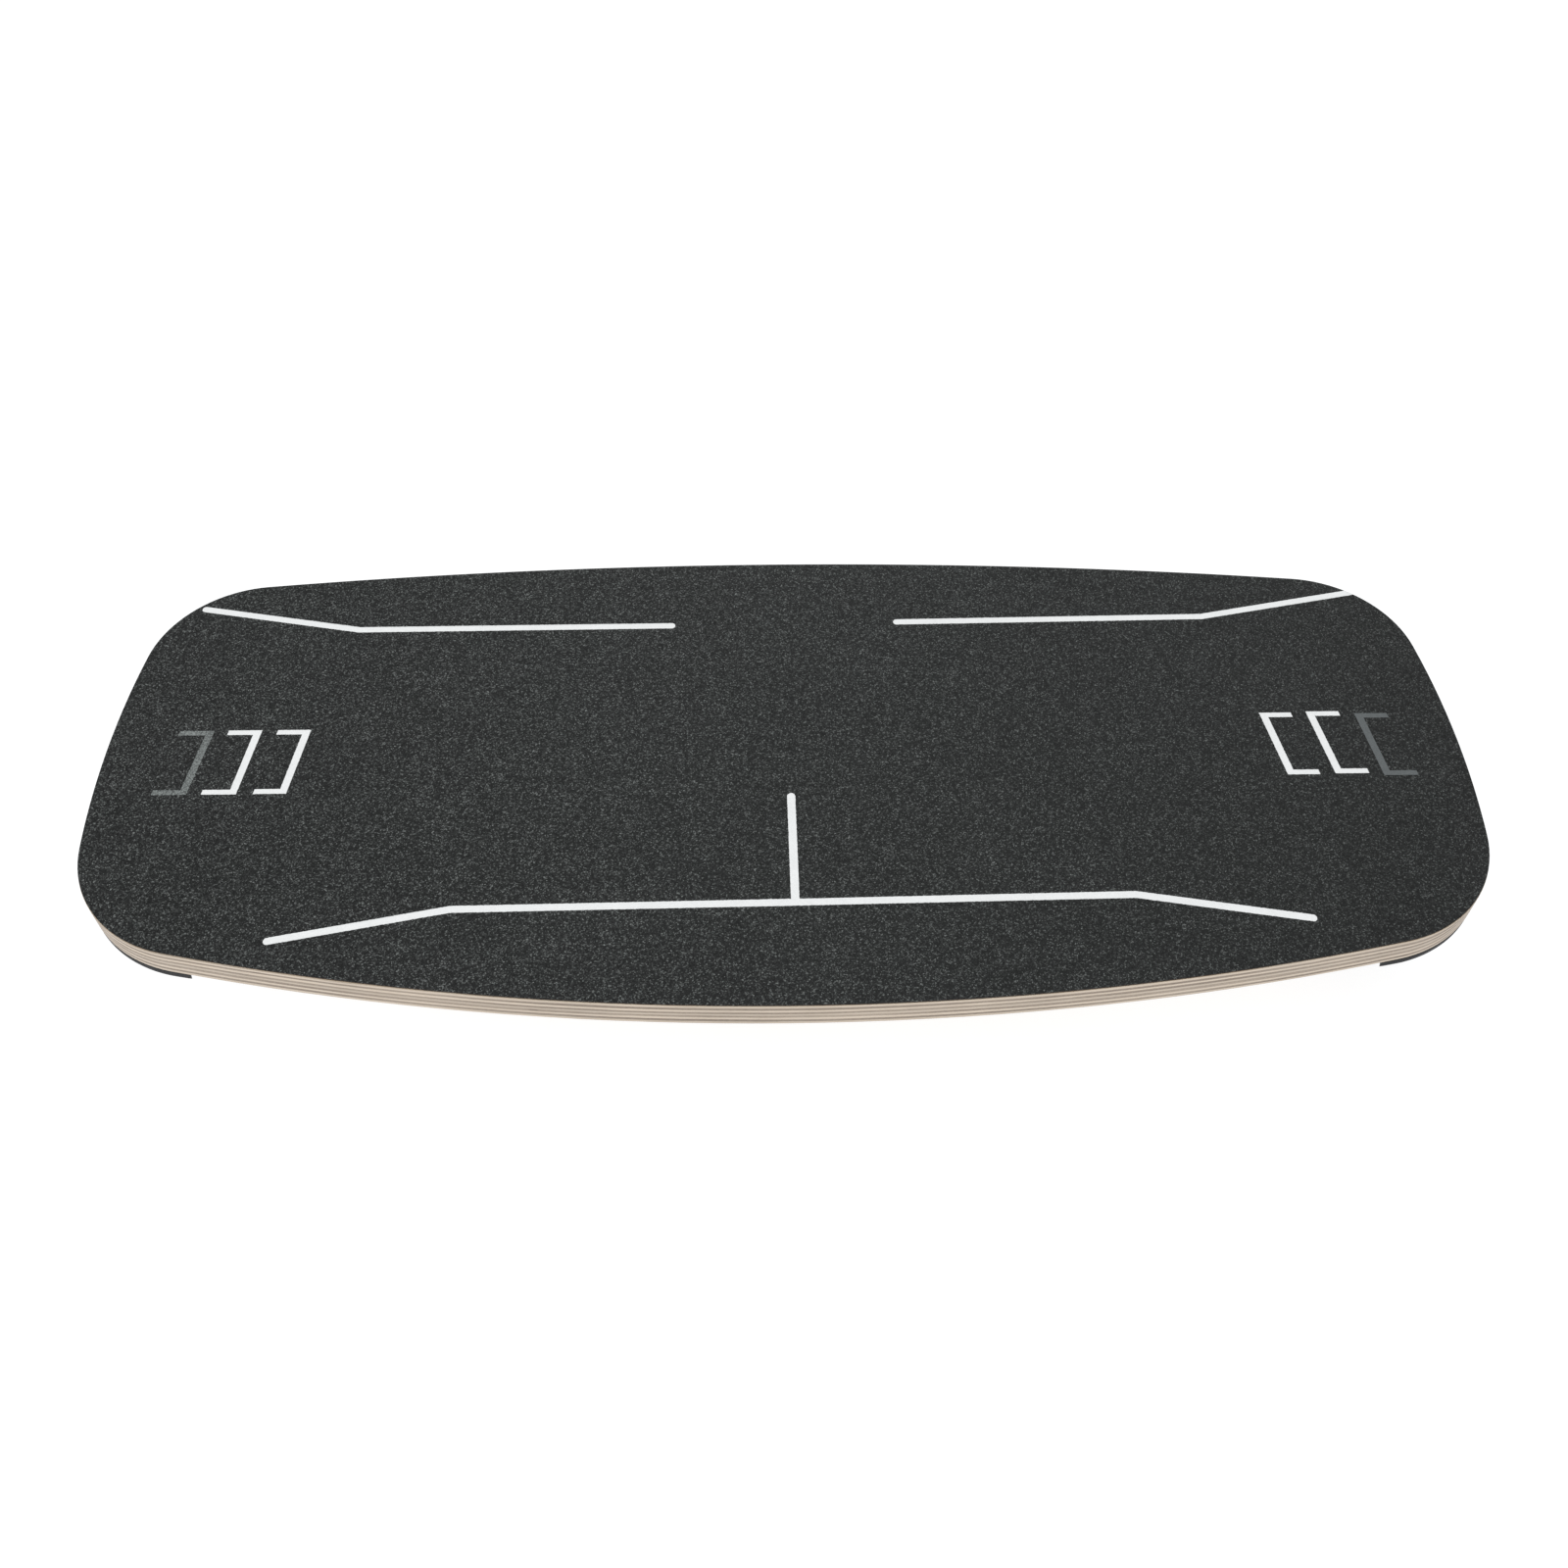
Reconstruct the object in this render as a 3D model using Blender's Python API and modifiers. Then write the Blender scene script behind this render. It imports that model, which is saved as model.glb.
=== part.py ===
# Balance board: a plywood deck with an abrasive grip sheet on top, two rubber
# end pads under its ends, and a side-to-side rocker under its middle.  The
# rocker is two curved plywood rails with rubber treads, tied by two dowels and
# hung from the deck by screws whose heads sit under the grip sheet.
#
# Metres, +Z up.  X runs along the board (left foot to right foot), Y runs from
# the front edge (the one the user faces, -Y) to the back edge.  The origin is on
# the ground, under the middle of the board, with the board level.
import math
import bpy
import bmesh
from mathutils import Matrix, Vector

# ----------------------------------------------------------------- dimensions
GAP = 0.0003            # clearance between pieces that touch

DECK_LENGTH = 0.800     # end to end
DECK_WIDTH = 0.331      # front to back
PLY_T = 0.0171          # sanded plywood
GRIP_T = 0.0008         # abrasive sheet
GRIP_INSET = 0.0003     # sheet is trimmed this far inside the deck's edge
DECK_Z = 0.0800         # underside of the deck above the ground
FRONT_R = 1.567         # bow of the front edge
BACK_R = 3.208          # bow of the back edge, which is flatter
END_R = 0.6023          # bow of the two ends
FRONT_CORNER_R = 0.0798
BACK_CORNER_R = 0.0715
DECK_EDGE_BEVEL = 0.0012

PAD_T = 0.0052          # rubber end pad
PAD_INSET = 0.0001      # from the deck's edge
PAD_TIP_X = 0.3242      # where the pad's two tips end
PAD_MID_X = 0.3520      # the pad's inner edge in the middle of its arc
PAD_BEVEL = 0.0005

RAIL_T = 0.0180         # rocker rail, cut from plywood
RAIL_Y = 0.0710         # middle of each rail from the board's middle
RAIL_LENGTH = 0.3000
ROCKER_R = 0.2600       # rolling radius at the ground
LAND_HALF = 0.0250      # half of the flat land in the middle of the rocker
TREAD_T = 0.0030
TREAD_W = 0.0160
TREAD_LENGTH = 0.2860
DOWEL_R = 0.0080
DOWEL_X = 0.0750
DOWEL_Z = 0.0450
DOWEL_SEAT = 0.0100     # depth of the dowel's hole in each rail

RAIL_SCREW_X = (-0.110, 0.0, 0.110)
RAIL_SCREW_LEN = 0.0500
RAIL_SCREW_R = 0.00225
RAIL_SCREW_HEAD_R = 0.0045
PAD_SCREW_LEN = 0.0160
PAD_SCREW_R = 0.00175
PAD_SCREW_HEAD_R = 0.0037
PAD_SCREW_SUNK = 0.0012  # screw heads sit this deep inside the rubber
PAD_SCREW_CORNER_DEG = 58.0
PAD_SCREW_END_Y = 0.0450

PLY_TOP = DECK_Z + PLY_T
GRIP_Z0 = PLY_TOP + GAP
GRIP_Z1 = GRIP_Z0 + GRIP_T

# ---------------------------------------------------------------- scene set-up
for old in list(bpy.data.objects):
    bpy.data.objects.remove(old, do_unlink=True)

board = bpy.data.collections.new("balance_board")
cutters = bpy.data.collections.new("cutters")
bpy.context.scene.collection.children.link(board)
bpy.context.scene.collection.children.link(cutters)


def material(name, rgb, roughness, metallic=0.0):
    mat = bpy.data.materials.new(name)
    mat.use_nodes = True
    bsdf = mat.node_tree.nodes["Principled BSDF"]
    bsdf.inputs["Base Color"].default_value = (*rgb, 1.0)
    bsdf.inputs["Roughness"].default_value = roughness
    bsdf.inputs["Metallic"].default_value = metallic
    mat.diffuse_color = (*rgb, 1.0)
    return mat


M_PLY = material("birch_plywood", (0.56, 0.47, 0.37), 0.62)
M_GRIP = material("charcoal_grip", (0.034, 0.037, 0.037), 0.95)
M_RUBBER = material("black_rubber", (0.018, 0.018, 0.019), 0.75)
M_TREAD = material("tread_rubber", (0.030, 0.030, 0.031), 0.85)
M_BEECH = material("beech_dowel", (0.60, 0.46, 0.32), 0.58)
M_STEEL = material("zinc_steel", (0.62, 0.62, 0.60), 0.35, 1.0)


# --------------------------------------------------------------------- helpers
def arc(cx, cy, r, a0, a1, n):
    """Points on an arc, both ends included."""
    return [(cx + r * math.cos(a0 + (a1 - a0) * i / n),
             cy + r * math.sin(a0 + (a1 - a0) * i / n)) for i in range(n + 1)]


def corner(side_r, corner_r):
    """Centre of the corner arc that is tangent to a side arc and an end arc."""
    a, b = DECK_LENGTH / 2, DECK_WIDTH / 2
    c1 = Vector((0.0, b - side_r))
    c2 = Vector((a - END_R, 0.0))
    d1, d2 = side_r - corner_r, END_R - corner_r
    gap = c2 - c1
    dist = gap.length
    x = (d1 * d1 - d2 * d2 + dist * dist) / (2 * dist)
    h = math.sqrt(d1 * d1 - x * x)
    e = gap / dist
    n = Vector((-e.y, e.x))
    both = (c1 + e * x + n * h, c1 + e * x - n * h)
    return c1, c2, max(both, key=lambda p: p.x + p.y)


def quarter(side_r, corner_r, inset, n_side=18, n_corner=20, n_end=8):
    """A quarter of the deck's outline, from the middle of a long side (0, b) to
    the middle of the end (a, 0), drawn for the +X +Y quadrant."""
    c1, c2, c = corner(side_r, corner_r)
    a1 = math.atan2(c.y - c1.y, c.x - c1.x)
    a2 = math.atan2(c.y - c2.y, c.x - c2.x)
    side = arc(c1.x, c1.y, side_r - inset, math.pi / 2, a1, n_side)
    bend = arc(c.x, c.y, corner_r - inset, a1, a2, n_corner)
    end = arc(c2.x, c2.y, END_R - inset, a2, 0.0, n_end)
    return side + bend[1:] + end[1:]


def right_half(inset):
    """Outline of the right half, from the back middle round to the front middle."""
    back = quarter(BACK_R, BACK_CORNER_R, inset)
    front = [(x, -y) for x, y in quarter(FRONT_R, FRONT_CORNER_R, inset)]
    return back + front[::-1][1:]


def deck_outline(inset=0.0):
    right = right_half(inset)
    left = [(-x, y) for x, y in right[::-1][1:-1]]
    return right + left


def plate(name, points, z0, z1, mat, bevel=0.0, segments=2, upright=False):
    """A flat outline with a thickness, from a filled 2D curve.  upright stands
    it in the XZ plane, with z0 and z1 as its limits along Y."""
    half = (z1 - z0) / 2
    curve = bpy.data.curves.new(name + "_outline", "CURVE")
    curve.dimensions = "2D"
    curve.fill_mode = "BOTH"
    curve.extrude = half
    spline = curve.splines.new("POLY")
    spline.points.add(len(points) - 1)
    for p, (x, y) in zip(spline.points, points):
        p.co = (x, y, 0.0, 1.0)
    spline.use_cyclic_u = True
    flat = bpy.data.objects.new(name + "_flat", curve)
    board.objects.link(flat)
    if upright:
        # local (x, y, z) becomes world (x, -z, y)
        flat.rotation_euler = (math.pi / 2, 0.0, 0.0)
        flat.location = (0.0, (z0 + z1) / 2, 0.0)
    else:
        flat.location = (0.0, 0.0, (z0 + z1) / 2)
    bpy.context.view_layer.update()
    world = flat.matrix_world.copy()
    mesh = bpy.data.meshes.new_from_object(
        flat.evaluated_get(bpy.context.evaluated_depsgraph_get()))
    bm = bmesh.new()
    bm.from_mesh(mesh)
    bmesh.ops.remove_doubles(bm, verts=bm.verts, dist=1e-6)
    bmesh.ops.transform(bm, matrix=world, verts=bm.verts)
    bmesh.ops.recalc_face_normals(bm, faces=bm.faces)
    bm.to_mesh(mesh)
    bm.free()
    bpy.data.objects.remove(flat, do_unlink=True)
    obj = bpy.data.objects.new(name, mesh)
    board.objects.link(obj)
    mesh.name = name
    mesh.materials.clear()
    mesh.materials.append(mat)
    mesh.shade_smooth()
    mesh.set_sharp_from_angle(angle=math.radians(35))
    if bevel:
        mod = obj.modifiers.new("edge", "BEVEL")
        mod.width = bevel
        mod.segments = segments
        mod.limit_method = "ANGLE"
        mod.angle_limit = math.radians(40)
    return obj


def turned(name, profile, steps, collection, mat=None):
    """A turned solid: profile is (radius, height), running from the axis at the
    top, down the outer side, and back to the axis at the bottom."""
    mesh = bpy.data.meshes.new(name)
    mesh.from_pydata([(r, 0.0, z) for r, z in profile],
                     [(i, i + 1) for i in range(len(profile) - 1)], [])
    obj = bpy.data.objects.new(name, mesh)
    collection.objects.link(obj)
    mod = obj.modifiers.new("turn", "SCREW")
    mod.axis = "Z"
    mod.angle = 2 * math.pi
    mod.steps = steps
    mod.render_steps = steps
    mod.use_merge_vertices = True
    mod.merge_threshold = 0.00002
    mod.use_smooth_shade = True
    if mat:
        mesh.materials.append(mat)
    return obj


def hide_cutter(obj):
    obj.hide_render = True
    obj.display_type = "WIRE"
    return obj


def cut(target, cutter):
    mod = target.modifiers.new("cut_" + cutter.name, "BOOLEAN")
    mod.operation = "DIFFERENCE"
    mod.solver = "EXACT"
    mod.object = cutter


def freeze(obj):
    """The object's evaluated mesh as a new mesh."""
    bpy.context.view_layer.update()
    mesh = bpy.data.meshes.new_from_object(
        obj.evaluated_get(bpy.context.evaluated_depsgraph_get()))
    bm = bmesh.new()
    bm.from_mesh(mesh)
    bmesh.ops.remove_doubles(bm, verts=bm.verts, dist=1e-6)
    bm.to_mesh(mesh)
    bm.free()
    return mesh


def screw_mesh(name, length, shank_r, head_r):
    """A countersunk wood screw, head up, with its top at z = 0 and a cross
    recess in its head."""
    rim = 0.0004
    cone = head_r - shank_r
    body = turned(name + "_turned", [
        (0.0, 0.0), (head_r, 0.0), (head_r, -rim),
        (shank_r, -rim - cone), (shank_r, -length + 2.6 * shank_r),
        (0.0, -length)], 14, cutters)
    blade_l, blade_w, deep = head_r * 1.15, head_r * 0.26, head_r * 0.55
    blades = []
    for turn in (0.0, math.pi / 2):
        bpy.ops.mesh.primitive_cube_add(size=1.0)
        blade = bpy.context.object
        blade.name = name + "_blade"
        blade.scale = (blade_l, blade_w, deep * 2)
        blade.rotation_euler = (0.0, 0.0, turn)
        blades.append(blade)
        cut(body, blade)
    mesh = freeze(body)
    mesh.name = name
    mesh.materials.clear()
    mesh.materials.append(M_STEEL)
    for b in blades + [body]:
        bpy.data.objects.remove(b, do_unlink=True)
    mesh.shade_smooth()
    mesh.set_sharp_from_angle(angle=math.radians(35))
    return mesh


# ------------------------------------------------------------ deck and grip
deck = plate("deck", deck_outline(), DECK_Z, PLY_TOP, M_PLY, DECK_EDGE_BEVEL, 2)
grip = plate("grip_sheet", deck_outline(GRIP_INSET), GRIP_Z0, GRIP_Z1, M_GRIP)


# ------------------------------------------------------------------- end pads
def pad_outline():
    """Crescent under the right end.  Its outer edge follows the deck's outline,
    and its inner edge is one arc from tip to tip."""
    ring = right_half(PAD_INSET)

    def tip_y(sign):
        for (x0, y0), (x1, y1) in zip(ring, ring[1:]):
            if min(x0, x1) <= PAD_TIP_X <= max(x0, x1) and y0 * sign > 0:
                return y0 + (PAD_TIP_X - x0) / (x1 - x0) * (y1 - y0)

    back_y, front_y = tip_y(1), tip_y(-1)
    outer = [p for p in ring if p[0] > PAD_TIP_X + 0.002]
    half = (back_y - front_y) / 2
    rise = PAD_MID_X - PAD_TIP_X
    r = (half * half + rise * rise) / (2 * rise)
    swing = math.asin(half / r)
    inner = arc(PAD_MID_X - r, (back_y + front_y) / 2, r, -swing, swing, 14)
    return [(PAD_TIP_X, back_y)] + outer + inner[:-1]


def pad_screw_places():
    """Four screws along the middle of the right pad."""
    mid = (DECK_LENGTH / 2 - PAD_MID_X + PAD_INSET) / 2
    places = []
    for side_r, corner_r, sign in ((BACK_R, BACK_CORNER_R, 1), (FRONT_R, FRONT_CORNER_R, -1)):
        c1, c2, c = corner(side_r, corner_r)
        ang = math.radians(PAD_SCREW_CORNER_DEG)
        r = corner_r - mid
        places.append((c.x + r * math.cos(ang), sign * (c.y + r * math.sin(ang))))
    for y in (PAD_SCREW_END_Y, -PAD_SCREW_END_Y):
        cx = DECK_LENGTH / 2 - END_R
        places.append((cx + math.sqrt((END_R - mid) ** 2 - y * y), y))
    return places


PAD_Z1 = DECK_Z - GAP
PAD_Z0 = PAD_Z1 - PAD_T
right_pad_outline = pad_outline()
left_pad_outline = [(-x, y) for x, y in right_pad_outline[::-1]]
pads = {
    "right": plate("end_pad_right", right_pad_outline, PAD_Z0, PAD_Z1, M_RUBBER, PAD_BEVEL, 2),
    "left": plate("end_pad_left", left_pad_outline, PAD_Z0, PAD_Z1, M_RUBBER, PAD_BEVEL, 2),
}

pad_screw = screw_mesh("pad_screw", PAD_SCREW_LEN, PAD_SCREW_R, PAD_SCREW_HEAD_R)
head_z = PAD_Z0 + PAD_SCREW_SUNK
spots = ("back", "front", "end_back", "end_front")
for side, sign in (("right", 1), ("left", -1)):
    for spot, (x, y) in zip(spots, pad_screw_places()):
        screw = bpy.data.objects.new("pad_screw_%s_%s" % (side, spot), pad_screw)
        board.objects.link(screw)
        screw.rotation_euler = (math.pi, 0.0, 0.0)
        screw.location = (sign * x, y, head_z)
        # counterbored and countersunk hole in the rubber
        r, rs, cone = PAD_SCREW_HEAD_R + GAP, PAD_SCREW_R + GAP, PAD_SCREW_HEAD_R - PAD_SCREW_R
        hole = hide_cutter(turned("hole_pad_%s_%s" % (side, spot), [
            (0.0, 0.0), (rs, 0.0), (rs, -PAD_T + PAD_SCREW_SUNK + 0.0004 + cone - 0.0008),
            (r, -PAD_T + PAD_SCREW_SUNK + 0.0004), (r, -PAD_T - 0.002), (0.0, -PAD_T - 0.002)],
            16, cutters))
        hole.location = (sign * x, y, PAD_Z1 + 0.0008)
        cut(pads[side], hole)
        # blind pilot hole in the deck
        depth = PAD_SCREW_LEN - (PAD_T - PAD_SCREW_SUNK) + 0.0005
        pilot = hide_cutter(turned("hole_deck_%s_%s" % (side, spot), [
            (0.0, depth), (rs, depth - 0.0012), (rs, -0.002), (0.0, -0.002)], 14, cutters))
        pilot.location = (sign * x, y, DECK_Z)
        cut(deck, pilot)


# --------------------------------------------------------------- rocker rails
def rocker_arc(offset, half_length, n=12):
    """The rolling line, from left to right, moved up by offset: a short flat
    land with an arc on each side of it."""
    top = math.asin((half_length - LAND_HALF) / (ROCKER_R - offset))
    right = [(LAND_HALF + (ROCKER_R - offset) * math.sin(top * i / n),
              ROCKER_R - (ROCKER_R - offset) * math.cos(top * i / n)) for i in range(n + 1)]
    left = [(-x, z) for x, z in right[::-1]]
    return left + right


rail_under = rocker_arc(TREAD_T + GAP, RAIL_LENGTH / 2)
rail_outline = rail_under + [(RAIL_LENGTH / 2, DECK_Z - GAP), (-RAIL_LENGTH / 2, DECK_Z - GAP)]
tread_outline = rocker_arc(0.0, TREAD_LENGTH / 2) + rocker_arc(TREAD_T, TREAD_LENGTH / 2)[::-1]

rail_screw = screw_mesh("rail_screw", RAIL_SCREW_LEN, RAIL_SCREW_R, RAIL_SCREW_HEAD_R)
for side, sign in (("front", -1), ("back", 1)):
    mid = sign * RAIL_Y
    rail = plate("rocker_rail_" + side, rail_outline, mid - RAIL_T / 2, mid + RAIL_T / 2,
                 M_PLY, 0.0015, 2, upright=True)
    plate("rocker_tread_" + side, tread_outline, mid - TREAD_W / 2, mid + TREAD_W / 2,
          M_TREAD, 0.0006, 1, upright=True)
    for spot, x in zip(("left", "middle", "right"), RAIL_SCREW_X):
        screw = bpy.data.objects.new("rail_screw_%s_%s" % (side, spot), rail_screw)
        board.objects.link(screw)
        screw.location = (x, mid, PLY_TOP - 0.0002)
        r, rs = RAIL_SCREW_HEAD_R + GAP, RAIL_SCREW_R + GAP
        cone = RAIL_SCREW_HEAD_R - RAIL_SCREW_R
        sink = hide_cutter(turned("hole_sink_%s_%s" % (side, spot), [
            (0.0, 0.002), (r, 0.002), (r, -0.0008), (rs, -0.0008 - cone),
            (rs, -PLY_T - 0.001), (0.0, -PLY_T - 0.001)], 16, cutters))
        sink.location = (x, mid, PLY_TOP)
        cut(deck, sink)
        deep = RAIL_SCREW_LEN - PLY_T + 0.0008
        pilot = hide_cutter(turned("hole_rail_%s_%s" % (side, spot), [
            (0.0, 0.002), (rs, 0.002), (rs, -deep + 0.0055), (0.0, -deep)], 14, cutters))
        pilot.location = (x, mid, DECK_Z - GAP)
        cut(rail, pilot)
    for spot, x in (("left", -DOWEL_X), ("right", DOWEL_X)):
        seat = hide_cutter(turned("hole_dowel_%s_%s" % (side, spot), [
            (0.0, DOWEL_SEAT), (DOWEL_R + GAP, DOWEL_SEAT), (DOWEL_R + GAP, -0.002),
            (0.0, -0.002)], 24, cutters))
        # local +Z runs into the rail from its inner face
        seat.rotation_euler = (-sign * math.pi / 2, 0.0, 0.0)
        seat.location = (x, sign * (RAIL_Y - RAIL_T / 2), DOWEL_Z)
        cut(rail, seat)

# ----------------------------------------------------------------- tie dowels
dowel_half = RAIL_Y - RAIL_T / 2 + DOWEL_SEAT - GAP
for spot, x in (("left", -DOWEL_X), ("right", DOWEL_X)):
    dowel = turned("tie_dowel_" + spot, [
        (0.0, dowel_half), (DOWEL_R - 0.001, dowel_half), (DOWEL_R, dowel_half - 0.001),
        (DOWEL_R, -dowel_half + 0.001), (DOWEL_R - 0.001, -dowel_half), (0.0, -dowel_half)],
        24, board, M_BEECH)
    dowel.rotation_euler = (math.pi / 2, 0.0, 0.0)
    dowel.location = (x, 0.0, DOWEL_Z)
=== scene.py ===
"""Looks for the balance board: plywood deck, printed grip sheet, rubber end
pads, curved rocker rails with rubber treads, screws and tie dowels."""
import math
import random

import bmesh
import bpy
from mathutils import Matrix, Vector, noise


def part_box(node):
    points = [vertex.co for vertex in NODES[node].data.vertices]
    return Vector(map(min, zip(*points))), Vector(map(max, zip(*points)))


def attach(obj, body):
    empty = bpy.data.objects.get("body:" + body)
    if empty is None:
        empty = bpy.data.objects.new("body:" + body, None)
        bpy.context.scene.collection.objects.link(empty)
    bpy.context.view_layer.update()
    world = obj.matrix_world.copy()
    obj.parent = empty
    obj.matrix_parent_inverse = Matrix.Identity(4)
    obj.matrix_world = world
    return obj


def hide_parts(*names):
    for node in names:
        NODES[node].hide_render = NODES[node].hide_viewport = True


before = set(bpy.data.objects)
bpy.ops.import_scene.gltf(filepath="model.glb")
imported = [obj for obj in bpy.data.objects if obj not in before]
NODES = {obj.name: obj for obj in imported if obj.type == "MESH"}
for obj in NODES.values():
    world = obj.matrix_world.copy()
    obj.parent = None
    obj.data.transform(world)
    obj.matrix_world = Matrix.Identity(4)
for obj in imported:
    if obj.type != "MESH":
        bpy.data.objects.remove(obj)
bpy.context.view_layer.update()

# --------------------------------------------------------------- dimensions
deck_lo, deck_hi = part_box("deck")
grip_lo, grip_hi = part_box("grip_sheet")
pad_lo, pad_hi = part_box("end_pad_right")
rail_lo, rail_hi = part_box("rocker_rail_front")
tread_lo, tread_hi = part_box("rocker_tread_front")

LENGTH = deck_hi.x - deck_lo.x
WIDTH = deck_hi.y - deck_lo.y
DECK_Z0, DECK_Z1 = deck_lo.z, deck_hi.z
GRIP_Z0, GRIP_Z1 = grip_lo.z, grip_hi.z
FRONT_R, BACK_R, END_R = 1.567, 3.208, 0.6023
FRONT_CORNER_R, BACK_CORNER_R = 0.0798, 0.0715
PAD_INSET, PAD_TIP_X, PAD_MID_X = 0.0001, 0.3242, 0.3520
ROCKER_R, LAND_HALF, TREAD_T = 0.2600, 0.0250, 0.0030
PLIES = 9


# ------------------------------------------------------------ node utilities
class Graph:
    """A small helper for building a shader graph."""

    def __init__(self, name):
        self.mat = bpy.data.materials.new(name)
        self.mat.use_nodes = True
        self.tree = self.mat.node_tree
        self.bsdf = self.tree.nodes["Principled BSDF"]
        self.coord = self.tree.nodes.new("ShaderNodeTexCoord").outputs["Object"]

    def set(self, **values):
        for key, value in values.items():
            self.bsdf.inputs[key.replace("_", " ")].default_value = value
        return self

    def node(self, kind, **props):
        n = self.tree.nodes.new(kind)
        for k, v in props.items():
            setattr(n, k, v)
        return n

    def link(self, a, b):
        self.tree.links.new(a, b)
        return self

    def feed(self, socket, value):
        if isinstance(value, bpy.types.NodeSocket):
            self.tree.links.new(value, socket)
        else:
            socket.default_value = value

    def math(self, op, a, b=None, c=None, clamp=False):
        n = self.node("ShaderNodeMath", operation=op, use_clamp=clamp)
        for i, v in enumerate((a, b, c)):
            if v is not None:
                self.feed(n.inputs[i], v)
        return n.outputs[0]

    def vmath(self, op, a, b=None):
        n = self.node("ShaderNodeVectorMath", operation=op)
        self.feed(n.inputs[0], a)
        if b is not None:
            self.feed(n.inputs[1], b)
        return n.outputs["Value"] if op in ("DOT_PRODUCT", "LENGTH") else n.outputs[0]

    def split(self, v):
        n = self.node("ShaderNodeSeparateXYZ")
        self.link(v, n.inputs[0])
        return n.outputs[0], n.outputs[1], n.outputs[2]

    def join(self, x, y, z):
        n = self.node("ShaderNodeCombineXYZ")
        for s, v in zip(n.inputs, (x, y, z)):
            self.feed(s, v)
        return n.outputs[0]

    def scaled(self, scale, v=None):
        n = self.node("ShaderNodeVectorMath", operation="MULTIPLY")
        self.link(v or self.coord, n.inputs[0])
        n.inputs[1].default_value = scale
        return n.outputs[0]

    def noise(self, scale, detail=2.0, rough=0.5, vector=None, distortion=0.0, lac=2.0):
        n = self.node("ShaderNodeTexNoise")
        self.link(vector or self.coord, n.inputs["Vector"])
        n.inputs["Scale"].default_value = scale
        n.inputs["Detail"].default_value = detail
        n.inputs["Roughness"].default_value = rough
        n.inputs["Lacunarity"].default_value = lac
        n.inputs["Distortion"].default_value = distortion
        return n.outputs["Fac"]

    def cells(self, scale, feature="F1", vector=None, randomness=1.0):
        n = self.node("ShaderNodeTexVoronoi", feature=feature)
        self.link(vector or self.coord, n.inputs["Vector"])
        n.inputs["Scale"].default_value = scale
        n.inputs["Randomness"].default_value = randomness
        return n

    def ramp(self, value, stops, interpolation="LINEAR"):
        n = self.node("ShaderNodeValToRGB")
        n.color_ramp.interpolation = interpolation
        els = n.color_ramp.elements
        while len(els) < len(stops):
            els.new(0.5)
        for e, (pos, col) in zip(els, stops):
            e.position = pos
            e.color = (*col, 1.0) if isinstance(col, tuple) else (col, col, col, 1.0)
        self.feed(n.inputs[0], value)
        return n.outputs["Color"]

    def mix(self, fac, a, b, blend="MIX"):
        n = self.node("ShaderNodeMix", data_type="RGBA", blend_type=blend)
        self.feed(n.inputs["Factor"], fac)
        for s, v in ((n.inputs[6], a), (n.inputs[7], b)):
            if isinstance(v, tuple):
                s.default_value = (*v, 1.0)
            else:
                self.feed(s, v)
        return n.outputs[2]

    def remap(self, value, a, b, c=0.0, d=1.0, smooth=False):
        n = self.node("ShaderNodeMapRange")
        if smooth:
            n.interpolation_type = "SMOOTHSTEP"
        for i, v in enumerate((value, a, b, c, d)):
            self.feed(n.inputs[i], v)
        return n.outputs[0]

    def bump(self, height, strength, distance, normal=None):
        n = self.node("ShaderNodeBump")
        n.inputs["Strength"].default_value = strength
        n.inputs["Distance"].default_value = distance
        self.feed(n.inputs["Height"], height)
        if normal is not None:
            self.link(normal, n.inputs["Normal"])
        return n.outputs["Normal"]

    def finish(self, color=None, rough=None, normal=None):
        if color is not None:
            self.feed(self.bsdf.inputs["Base Color"], color)
        if rough is not None:
            self.feed(self.bsdf.inputs["Roughness"], rough)
        if normal is not None:
            self.link(normal, self.bsdf.inputs["Normal"])
        return self.mat


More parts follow.
